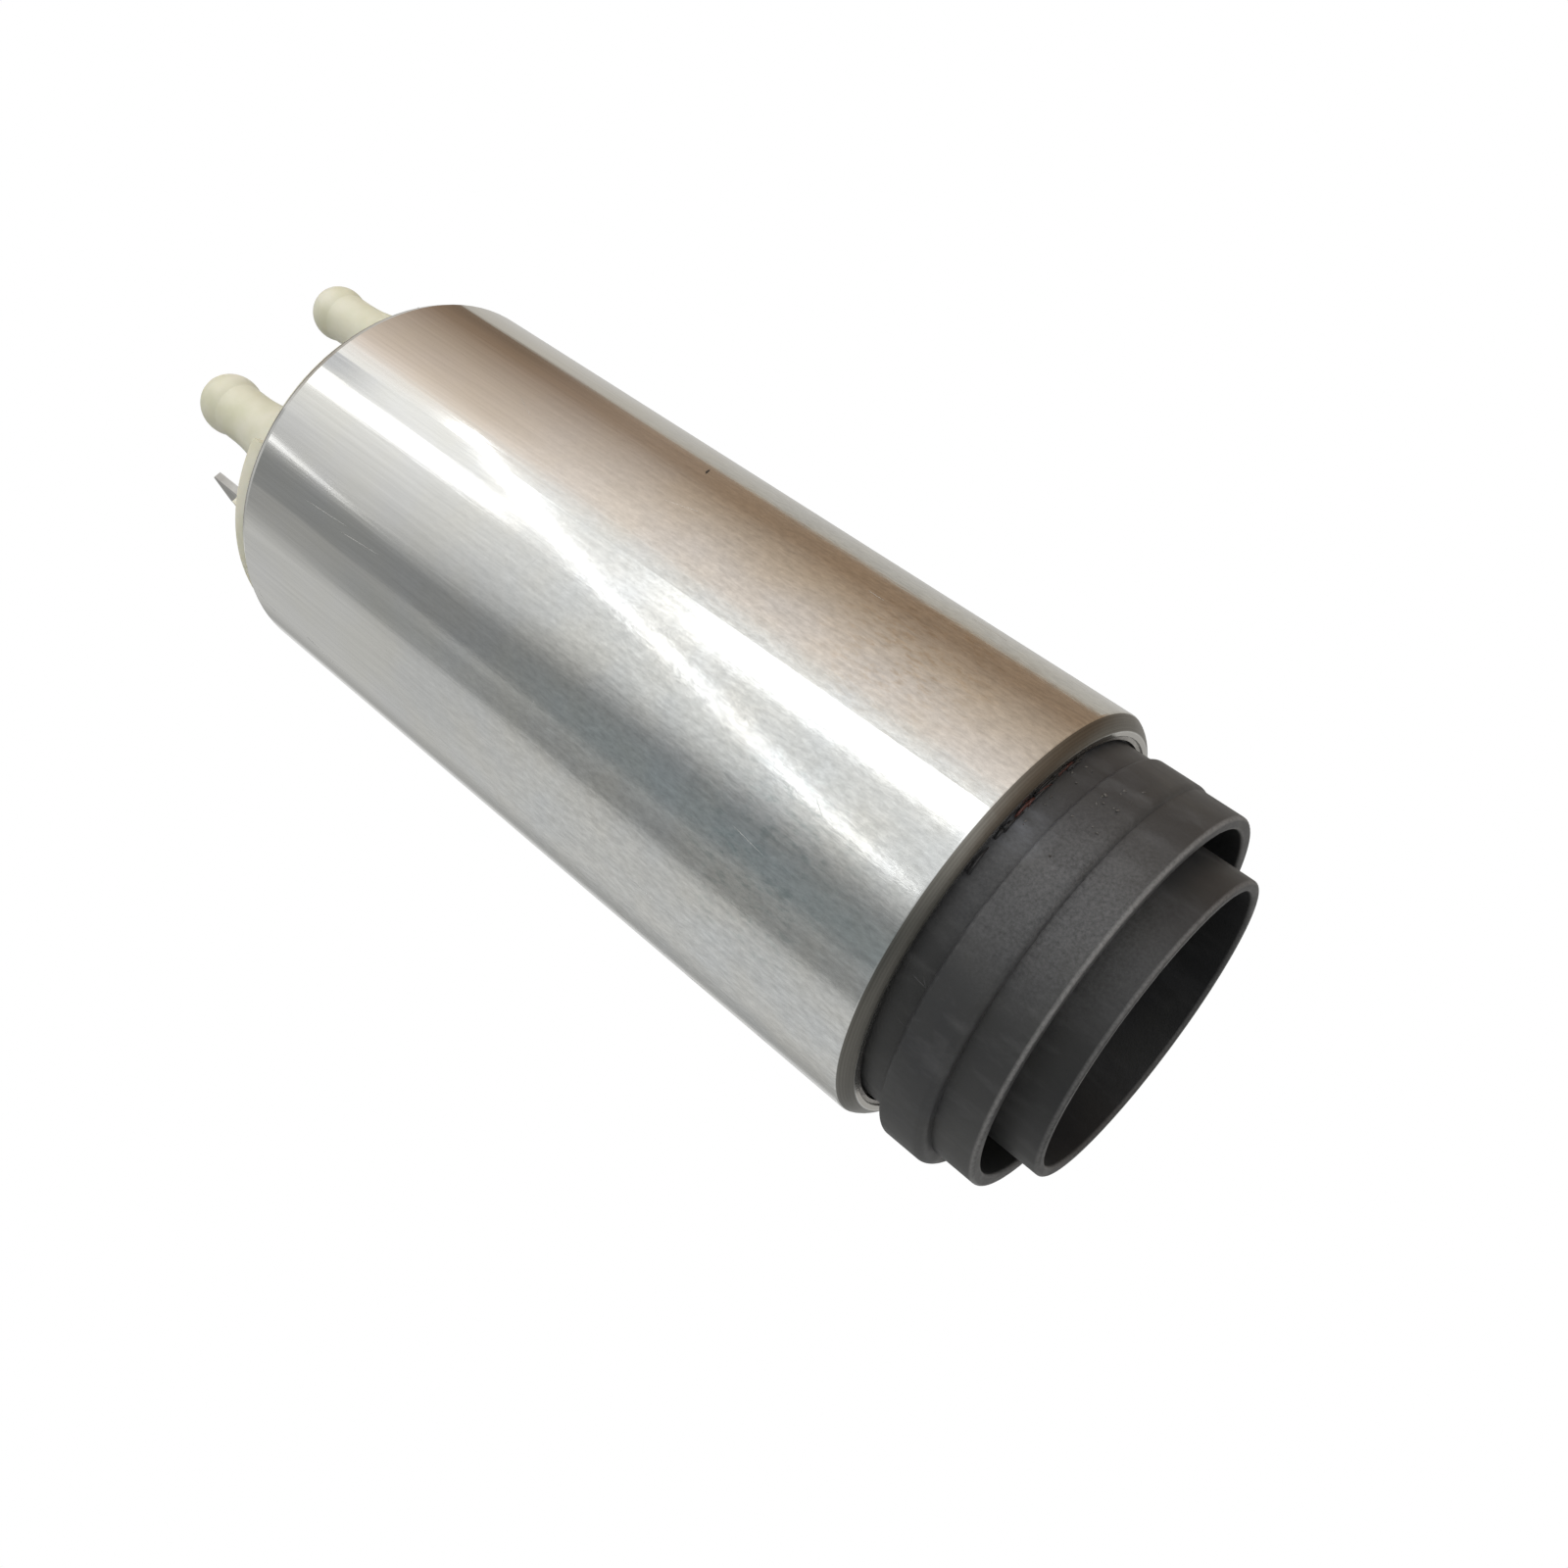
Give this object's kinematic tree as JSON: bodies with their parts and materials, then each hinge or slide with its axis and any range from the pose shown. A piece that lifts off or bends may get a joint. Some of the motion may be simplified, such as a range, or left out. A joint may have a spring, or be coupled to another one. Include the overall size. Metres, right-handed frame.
{
  "type": "in-tank fuel pump",
  "caption": "Cylindrical in-tank fuel pump: bright rolled can, black stepped inlet tube end, cream outlet end with hose nipples and blade terminals.",
  "frame": {"origin": "centre of the inlet tube's rim, on the plane the pump stands on", "axes": "+Z along the pump's axis from the inlet towards the outlet, +X between the two hose nipples, +Y to the second nipple's side"},
  "size_m": [0.043, 0.043, 0.1185],
  "materials": {
    "can_aluminium": "drawn and brushed along the can, bright",
    "ring_steel": "dull rolled strip",
    "cap_black": "black moulded plastic, fine matt grain",
    "cover_cream": "cream moulded plastic, satin",
    "terminal_tin": "tinned blade, dull",
    "seal_rubber": "matt fuel-proof rubber",
    "casing_aluminium": "die cast, machined faces",
    "bearing_bronze": "sintered bush",
    "hard_pad": "ground ceramic",
    "impeller_phenolic": "brown moulded phenolic",
    "shaft_steel": "ground steel",
    "core_steel": "laminated electrical steel",
    "insulator": "green insulating disc",
    "winding_copper": "enamelled copper wire",
    "commutator_plastic": "moulded hub",
    "carbon": "pressed carbon",
    "field_steel": "plain steel tube",
    "ferrite": "dark ferrite",
    "holder_plastic": "dark moulded plastic",
    "contact_brass": "stamped brass",
    "spring_steel": "spring wire",
    "poppet_plastic": "natural moulded plastic"
  },
  "bodies": {
    "housing": {"shell": "can_aluminium", "retaining_ring": "ring_steel", "inlet_cap": "cap_black", "inlet_o_ring": "seal_rubber", "inlet_plate": "casing_aluminium", "thrust_pad": "hard_pad", "outlet_plate": "casing_aluminium", "lower_bush": "bearing_bronze", "flux_ring": "field_steel", "magnet_north": "ferrite", "magnet_south": "ferrite", "magnet_clips": "ring_steel", "brush_holder": "holder_plastic", "upper_bush": "bearing_bronze", "spring_cap_left": "contact_brass", "spring_cap_right": "contact_brass", "choke_core_left": "ferrite", "choke_core_right": "ferrite", "choke_coil_left": "winding_copper", "choke_coil_right": "winding_copper", "terminal_left": "terminal_tin", "terminal_right": "terminal_tin", "brush_spring_left": "spring_steel", "brush_spring_right": "spring_steel", "outlet_cover": "cover_cream", "cover_o_ring": "seal_rubber", "check_valve_seat": "contact_brass", "check_valve_spring": "spring_steel", "relief_valve_seat": "contact_brass", "relief_valve_spring": "spring_steel"},
    "rotor": {"shaft": "shaft_steel", "impeller": "impeller_phenolic", "armature_core": "core_steel", "slot_insulator_lower": "insulator", "slot_insulator_upper": "insulator", "windings": "winding_copper", "commutator_hub": "commutator_plastic", "commutator_segments": "carbon", "thrust_washer_lower": "bearing_bronze", "thrust_washer_upper": "bearing_bronze"},
    "left_brush": {"brush_left": "carbon"},
    "right_brush": {"brush_right": "carbon"},
    "check_poppet": {"check_valve_poppet": "poppet_plastic", "check_valve_seal": "seal_rubber"},
    "relief_ball": {"relief_valve_ball": "shaft_steel"}
  },
  "joints": [
    {"name": "rotor_spin", "type": "hinge", "parent": "housing", "child": "rotor", "pos_m": [0, 0, 0.055], "axis": [0, 0, 1], "continuous": true},
    {"name": "left_brush_slide", "type": "slide", "parent": "housing", "child": "left_brush", "axis": [0, 0, 1], "range_m": [0, 0.0025], "stiffness_N_per_m": 300, "springref_m": -0.004, "deforming": ["brush_spring_left"]},
    {"name": "right_brush_slide", "type": "slide", "parent": "housing", "child": "right_brush", "axis": [0, 0, 1], "range_m": [0, 0.0025], "stiffness_N_per_m": 300, "springref_m": -0.004, "deforming": ["brush_spring_right"]},
    {"name": "check_valve_lift", "type": "slide", "parent": "housing", "child": "check_poppet", "axis": [0, 0, 1], "range_m": [0, 0.002], "stiffness_N_per_m": 100, "springref_m": -0.003, "deforming": ["check_valve_spring"]},
    {"name": "relief_valve_lift", "type": "slide", "parent": "housing", "child": "relief_ball", "axis": [0, 0, 1], "range_m": [0, 0.0015], "stiffness_N_per_m": 2000, "springref_m": -0.003, "deforming": ["relief_valve_spring"]}
  ]
}
